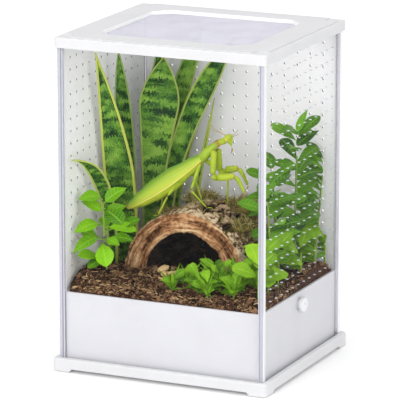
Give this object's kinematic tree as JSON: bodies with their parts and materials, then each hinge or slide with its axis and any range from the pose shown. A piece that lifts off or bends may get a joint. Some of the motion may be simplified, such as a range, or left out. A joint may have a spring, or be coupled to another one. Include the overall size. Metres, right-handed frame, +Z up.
{
  "type": "planted insect terrarium",
  "caption": "Upright clear-walled insect terrarium with slotted corner posts, meshed lift-off lid, air-holed panels, side port plug, soil tub, bark hide, plants and a mantis figure.",
  "frame": {"origin": "on the table below the middle of the base plate", "axes": "+Z up, the plain clear front pane faces -Y, the side with the port plug faces +X"},
  "size_m": [0.205, 0.185, 0.3],
  "materials": {
    "white_shell": "satin",
    "white_panel": "matt",
    "clear_acrylic": "polished",
    "clear_post": "polished",
    "mesh": "woven",
    "screw": "brushed",
    "soil": "coarse",
    "bark": "rough",
    "moss": "fibrous",
    "banded_leaf": "waxy",
    "bright_leaf": "waxy",
    "deep_leaf": "waxy",
    "mantis": "satin"
  },
  "bodies": {
    "enclosure": {"base_plate": "white_shell", "corner_post_front_left": "clear_post", "corner_post_front_right": "clear_post", "corner_post_rear_left": "clear_post", "corner_post_rear_right": "clear_post", "right_pane": "clear_acrylic", "rear_panel": "white_panel", "left_panel": "white_panel", "substrate_tub": "white_panel", "substrate_soil": "soil", "bark_hide": "bark", "moss_patches": "moss", "snake_plant": "banded_leaf", "left_bush": "bright_leaf", "right_tall_plant": "deep_leaf", "right_low_plant": "deep_leaf", "ground_cover": "bright_leaf", "mantis_figure": "mantis"},
    "lid": {"lid_frame": "white_shell", "mesh_screen": "mesh", "mesh_clamp_frame": "white_shell", "clamp_screws": "screw"},
    "front_pane": {"front_pane": "clear_acrylic"},
    "port_plug": {"port_plug": "white_shell"}
  },
  "joints": [
    {"name": "lid_lift", "type": "slide", "parent": "enclosure", "child": "lid", "axis": [0, 0, 1], "range_m": [0, 0.3]},
    {"name": "front_pane_draw", "type": "slide", "parent": "enclosure", "child": "front_pane", "axis": [0, 0, 1], "range_m": [0, 0.24]},
    {"name": "port_plug_pull", "type": "slide", "parent": "enclosure", "child": "port_plug", "axis": [1, 0, 0], "range_m": [0, 0.03]}
  ],
  "couplings": [
    {"joint": "front_pane_draw", "follows": "lid_lift", "ratio": 0.8}
  ]
}
